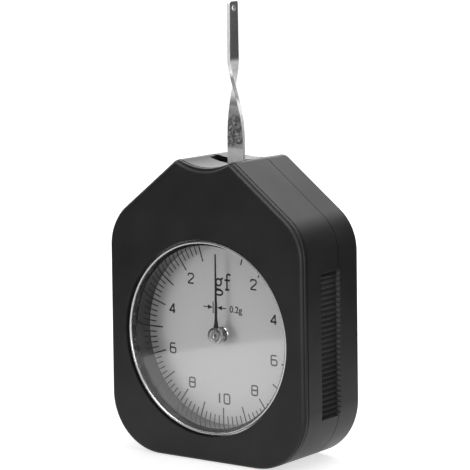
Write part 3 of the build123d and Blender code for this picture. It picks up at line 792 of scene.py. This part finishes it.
# ---- Lever
# One strip of plated spring steel, riveted to a hub inside the case. It stands flat in the
# slot, is twisted a quarter turn above the case, and tapers to a rounded end with an eye.
pivot_z, pivot_hole, rivet_hole, rivet_reach = 64.8, 1.62, 0.62, 3
lever_front_y, lever_thick, lever_edge = 2.2, 0.9, 0.12
lever_back_y, lever_middle_y = lever_front_y + lever_thick, lever_front_y + lever_thick / 2
lever_half, neck_half, end_half, end_bend = 2.45, 1.95, 1.75, 0.6
tail_z, tail_bend, tail_flat_half = 60.2, 2.15, 0.3
twist_from, twist_to, top_z = 81.0, 101.0, 116.4
twist_steps, twist_shift, twist_pace = 24, 0.9, 1.2
eye_z, eye_radius = top_z - 1.7, 0.8
height_grades_from, height_grades_to = 70, 120


def eased(share):
    """How much of the quarter turn is done: it starts slowly and ends at its own pace."""
    return share * share * (3 - twist_pace - (2 - twist_pace) * share)


def grade_by_height(material, stops):
    """Greys that run into each other up the lever, as (height in millimetres, grey)."""
    link = material.node_tree.links.new
    place = add_node(material, "ShaderNodeTexCoord")
    split = add_node(material, "ShaderNodeSeparateXYZ")
    ramp = add_node(material, "ShaderNodeValToRGB")
    elements = ramp.color_ramp.elements
    places = [(height - height_grades_from) / (height_grades_to - height_grades_from) for height, grey in stops]
    greys = [(grey, grey, grey, 1) for height, grey in stops]
    for share, grey in zip(places[1:-1], greys[1:-1]):
        elements.new(share).color = grey
    for end in (0, -1):
        elements[end].position = places[end]
        elements[end].color = greys[end]
    link(place.outputs["Object"], split.inputs["Vector"])
    link(add_range(material, split.outputs["Z"], height_grades_from * MM, height_grades_to * MM), ramp.inputs["Fac"])
    return ramp.outputs["Color"]


# The lever's grey changes with height: the bright and dark bands up the twist are painted reflections and
# painted highlights, standing in for what its turned faces mirror. A stained mottling from noise is
# multiplied over them low on the twist.
plated_steel, steel_shader = start_material("plated_steel", (0.5, 0.5, 0.5), 0.28, metallic=1.0)
painted_reflection_bands = grade_by_height(plated_steel, (
    (78.6, 0.8), (80.0, 0.62), (86.8, 0.66), (88.0, 0.76), (89.6, 0.74), (90.4, 0.5), (91.4, 0.5),
    (92.4, 0.84), (101.0, 0.84), (102.2, 0.42)))
mottled = grade_by_height(plated_steel, ((78.6, 0.1), (80.2, 1.0), (86.0, 0.9), (89.5, 0.15)))
stains_on_painted_bands = add_node(plated_steel, "ShaderNodeMix", data_type="RGBA", blend_type="MULTIPLY")
vary(plated_steel, add_noise(plated_steel, 1300, detail=4, distortion=0.6), stains_on_painted_bands.inputs["B"],
     (0.5, 0.5, 0.5), (1.0, 1.0, 1.0), spread=0.12)
link = plated_steel.node_tree.links.new
link(mottled, stains_on_painted_bands.inputs["Factor"])
link(painted_reflection_bands, stains_on_painted_bands.inputs["A"])
link(stains_on_painted_bands.outputs["Result"], steel_shader.inputs["Base Color"])
link(add_range(plated_steel, stains_on_painted_bands.outputs["Result"], 0.35, 1.0, 0.32, 0.72),
     steel_shader.inputs["Roughness"])
add_bump(plated_steel, add_noise(plated_steel, 600, detail=3, stretch=(1, 1, 0.5)), steel_shader, 0.02, 0.5)
# The cut edges' grey also changes with height. They are bright where they catch the light and darker from 90
# to 98 mm: painted highlights and painted reflections, not a change in the steel.
sheared_edge_painted_bands, edge_shader = start_material("sheared_edge_painted_bands", (0.95, 0.95, 0.95), 0.5, metallic=1.0)
vary(sheared_edge_painted_bands, add_noise(sheared_edge_painted_bands, 1500), edge_shader.inputs["Roughness"], 0.45, 0.6)
sheared_edge_painted_bands.node_tree.links.new(grade_by_height(sheared_edge_painted_bands, (
    (88.0, 0.95), (90.5, 0.65), (92.0, 0.2), (97.0, 0.2), (98.5, 0.95))), edge_shader.inputs["Base Color"])

lever = start_piece("feeler_lever")
dress(lever, plated_steel)
lever.data.materials.append(sheared_edge_painted_bands)
start_line(-lever_half, lever_front_y, twist_from)
line_to(-lever_half, lever_front_y, tail_z + tail_bend)
arc_to(-tail_flat_half, tail_z, (-tail_flat_half, tail_z + tail_bend), steps=10)
line_to(tail_flat_half, lever_front_y, tail_z)
arc_to(lever_half, tail_z + tail_bend, (tail_flat_half, tail_z + tail_bend), steps=10)
line_to(lever_half, lever_front_y, twist_from)
bpy.ops.mesh.select_all(action="SELECT")
bpy.ops.mesh.edge_face_add()
pick("edges", lambda first, second: min(first.z, second.z) > twist_from - 0.01)
shares = [step / twist_steps for step in range(1, twist_steps + 1)]
heights = [twist_from + (twist_to - twist_from) * share for share in shares]
halves = [lever_half + (neck_half - lever_half) * eased(share) for share in shares]
half, height = lever_half, twist_from
for next_height, next_half in zip(heights + [top_z], halves + [end_half]):
    extrude((0, 0, (next_height - height) * MM))
    bpy.ops.transform.resize(value=(next_half / half, 1, 1), center_override=(0, 0, next_height * MM))
    half, height = next_half, next_height
bpy.ops.mesh.select_mode(type="VERT")
bpy.ops.mesh.bevel(offset=end_bend * MM, segments=5, affect="VERTICES")
bpy.ops.mesh.select_all(action="SELECT")
extrude((0, lever_thick * MM, 0))
close_mesh()
pick("faces", lambda middle, normal: abs(normal.y) < 0.5)
lever.active_material_index = 1
bpy.ops.object.material_slot_assign()
for share, height in zip(shares, heights):
    reach = top_z + past if share == 1 else height + 0.01
    pick("verts", lambda place: height - 0.01 < place.z < reach)
    bpy.ops.transform.rotate(value=radians(90) * eased(share), orient_axis="Z",
                             center_override=(0, lever_middle_y * MM, height * MM))
    bpy.ops.transform.translate(value=(0, -twist_shift * eased(share) * MM, 0))
cut(lever, add_cylinder(0, pivot_z, pivot_hole, lever_front_y - past, lever_back_y + past, 40))
for z in (pivot_z - rivet_reach, pivot_z + rivet_reach):
    cut(lever, add_cylinder(0, z, rivet_hole, lever_front_y - past, lever_back_y + past, 24))
eye_cutter = add_cylinder(0, eye_z, eye_radius, -past, past, 40)
eye_cutter.rotation_euler = (0, pi / 2, 0)
eye_cutter.location = (0, (lever_middle_y - twist_shift) * MM, eye_z * MM)
cut(lever, eye_cutter)
add_modifier(lever, "BEVEL", width=lever_edge * MM, segments=2, limit_method="ANGLE",
             angle_limit=radians(40))
smooth(lever, 40)
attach(lever, "lever_arm")
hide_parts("lever")

# ---- Case screws
# Slotted cheese-head screws of zinc-plated steel, sunk in the back. One is turned,
# slotted and copied to the other three holes.
shank_radius, head_radius, head_bevel = 1.23, 2.1, 0.15
shank_end_y, head_face_y = -1.68, 11.7
driver_slot_half, driver_slot_y = 0.22, 11.3

first_x, first_z = boss_places[0]
screw = spin_section("case_screw_1", [
    (0, shank_end_y), (shank_radius, shank_end_y), (shank_radius, screw_seat_y), (head_radius, screw_seat_y),
    (head_radius, head_face_y - head_bevel), (head_radius - head_bevel, head_face_y), (0, head_face_y)],
    first_x, first_z, steps=40)
cut(screw, add_block((first_x - head_radius - past, first_x + head_radius + past),
                     (driver_slot_y, head_face_y + past),
                     (first_z - driver_slot_half, first_z + driver_slot_half)))
smooth(screw)
zinc_plate, zinc_shader = start_material("zinc_plate", (0.55, 0.55, 0.56), 0.32, metallic=1.0)
vary(zinc_plate, add_noise(zinc_plate, 900), zinc_shader.inputs["Roughness"], 0.25, 0.42)
dress(screw, zinc_plate)
screws = [screw]
for number, (x, z) in enumerate(boss_places[1:], start=2):
    take_up(screw)
    bpy.ops.object.duplicate(linked=False)
    next_screw = bpy.context.object
    next_screw.name = f"case_screw_{number}"
    open_edit(next_screw)
    bpy.ops.mesh.select_all(action="SELECT")
    bpy.ops.transform.translate(value=((x - first_x) * MM, 0, (z - first_z) * MM))
    close_edit()
    screws.append(next_screw)
for piece in screws:
    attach(piece, "case")
    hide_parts("case_screws")

# ---- Movement
# What the case hides: brass plates, pillars, hub and toothed sector, steel shafts, pinion and
# screws, bronze bushes and two grey steel spiral springs. They stay as the frame has them,
# and only their finishes are made here.
brass, brass_shader = start_material("brass", (0.72, 0.52, 0.25), 0.3, metallic=1.0)
vary(brass, add_noise(brass, 800), brass_shader.inputs["Roughness"], 0.24, 0.4)
bronze, bronze_shader = start_material("bronze", (0.55, 0.34, 0.18), 0.35, metallic=1.0)
vary(bronze, add_noise(bronze, 800), bronze_shader.inputs["Roughness"], 0.28, 0.45)
# Dark steel for the shafts: partly their own colour and partly painted shade, since the shaft end in the
# hub's middle hole is kept dark to stand for the shade in that hole.
shaft_steel, shaft_shader = start_material("shaft_steel", (0.16, 0.17, 0.2), 0.2, metallic=1.0)
vary(shaft_steel, add_noise(shaft_steel, 900), shaft_shader.inputs["Roughness"], 0.15, 0.28)
spring_steel, spring_shader = start_material("spring_steel", (0.4, 0.42, 0.46), 0.25, metallic=1.0)
vary(spring_steel, add_noise(spring_steel, 900), spring_shader.inputs["Roughness"], 0.2, 0.32)
finishes = {"brass": brass, "bronze": bronze, "shaft_steel": shaft_steel, "spring_steel": spring_steel,
            "screw_steel": zinc_plate, "nickel": satin_nickel, "lever_steel": plated_steel,
            "dial_silver": dial_silver, "case_plastic": black_plastic, "pointer_black": pointer_black,
            "clear_window": clear_acrylic, "glossy_black": glossy_black, "bright_ring": bright_nickel}
for node in frame["nodes"].values():
    for place, material in enumerate(node.data.materials):
        node.data.materials[place] = finishes[material.name.split(".")[0]]

# ---- Table, light and camera
# A pale table and a white backdrop under soft light: a lamp low on the left, one above, one
# behind, and two that only the gloss shows. A dark card on each side is there for the gloss
# and the steel to mirror, and the room is dimmer in front than behind.
table_glow = 0.65
room_front, room_back = 0.28, 0.9
front_side_y, back_side_y = -0.9, 0.1
lamp_aim = Vector((0, 0, 0.035))


def add_sight(material):
    """1 for what the camera sees, also in gloss and through the window, and 0 for light on the object."""
    path = add_node(material, "ShaderNodeLightPath")
    seen = path.outputs["Is Camera Ray"]
    for ray in ("Is Glossy Ray", "Is Transmission Ray"):
        either = add_node(material, "ShaderNodeMath", operation="MAXIMUM")
        material.node_tree.links.new(seen, either.inputs[0])
        material.node_tree.links.new(path.outputs[ray], either.inputs[1])
        seen = either.outputs["Value"]
    return seen


def hide_from(thing, kinds):
    """Keeps a card or lamp out of these kinds of rays."""
    for kind in kinds:
        setattr(thing, "visible_" + kind, False)


bpy.ops.mesh.primitive_plane_add(size=8)
table = bpy.context.object
table.name = "table"
pale = bpy.data.materials.new("pale_table")
pale.use_nodes = True
pale.node_tree.nodes.remove(pale.node_tree.nodes["Principled BSDF"])
link = pale.node_tree.links.new
surface = add_node(pale, "ShaderNodeBsdfDiffuse", Color=(0.62, 0.62, 0.62, 1))
white = add_node(pale, "ShaderNodeEmission", Color=(1, 1, 1, 1))
both = add_node(pale, "ShaderNodeAddShader")
link(add_range(pale, add_sight(pale), 0.0, 1.0, to_highest=table_glow), white.inputs["Strength"])
link(surface.outputs["BSDF"], both.inputs[0])
link(white.outputs["Emission"], both.inputs[1])
link(both.outputs["Shader"], pale.node_tree.nodes["Material Output"].inputs["Surface"])
dress(table, pale)

card_grey = start_material("card_grey", (0.1, 0.1, 0.1), 0.9)[0]


def add_card(name, towards, distance, wide, high, middle, turn=0.0):
    """A dark card that only reflections show: it throws no shadow and takes no light away."""
    close_edit()
    bpy.ops.mesh.primitive_plane_add(size=1)
    card = bpy.context.object
    card.name = name
    towards = Vector(towards).normalized()
    facing = Matrix.Rotation(radians(turn), 4, "Z") @ towards.to_track_quat("Z", "Y").to_matrix().to_4x4()
    place = Matrix.Translation(towards * distance + Vector((0, 0, middle)))
    card.matrix_world = place @ facing @ Matrix.Diagonal((wide, high, 1, 1))
    hide_from(card, ("camera", "diffuse", "shadow", "transmission"))
    dress(card, card_grey)


add_card("right_card", (0.583, 0.80, 0), 0.13, 0.2, 0.24, 0.02)
add_card("left_card", (-0.58, -0.80, 0), 0.16, 0.36, 0.23, 0.015, turn=-30)

room = bpy.data.worlds.new("room")
bpy.context.scene.world = room
room.use_nodes = True
link = room.node_tree.links.new
outlook = add_node(room, "ShaderNodeTexCoord")
split = add_node(room, "ShaderNodeSeparateXYZ")
lightness = add_node(room, "ShaderNodeMix", B=1.0)
link(outlook.outputs["Generated"], split.inputs["Vector"])
link(add_range(room, split.outputs["Y"], front_side_y, back_side_y, room_front, room_back),
     lightness.inputs["A"])
link(add_sight(room), lightness.inputs["Factor"])
link(lightness.outputs["Result"], room.node_tree.nodes["Background"].inputs["Color"])


def add_lamp(name, place, size, energy, hidden_from=()):
    """A soft square lamp, turned to the middle of the case."""
    close_edit()
    bpy.ops.object.light_add(type="AREA", location=place)
    lamp = bpy.context.object
    lamp.name = name
    lamp.data.size = size
    lamp.data.energy = energy
    lamp.rotation_euler = (lamp_aim - Vector(place)).to_track_quat("-Z", "Y").to_euler()
    hide_from(lamp, hidden_from)


add_lamp("left_lamp", (-0.43, -0.55, 0.03), 0.24, 2.9, hidden_from=("glossy",))
add_lamp("right_glint", (0.47, -0.34, 0.1), 0.22, 1.1, hidden_from=("diffuse",))
add_lamp("top_glint", (0.1, -0.24, 0.46), 0.3, 2.0, hidden_from=("diffuse",))
add_lamp("top_lamp", (0.1, 0.35, 0.45), 0.4, 1.0)
add_lamp("back_lamp", (-0.4, 0.48, 0.32), 0.35, 0.9)

azimuth, elevation, roll = radians(36.0733), radians(8.0595), radians(-0.7126)
back = Vector((sin(azimuth) * cos(elevation), -cos(azimuth) * cos(elevation), sin(elevation)))
right = Vector((cos(azimuth), sin(azimuth), 0))
up = back.cross(right)
turned_right = right * cos(roll) + up * sin(roll)
turned_up = up * cos(roll) - right * sin(roll)
camera_place = Vector((352.618, -482.387, 141.465)) * MM
bpy.ops.object.camera_add()
camera = bpy.context.object
camera.data.lens = 180.75
camera.data.sensor_width = 36
camera.data.clip_start = 0.01
camera.matrix_world = (Matrix.Translation(camera_place)
                       @ Matrix((turned_right, turned_up, back)).transposed().to_4x4())
bpy.context.scene.camera = camera
bpy.context.scene.view_settings.view_transform = "Standard"
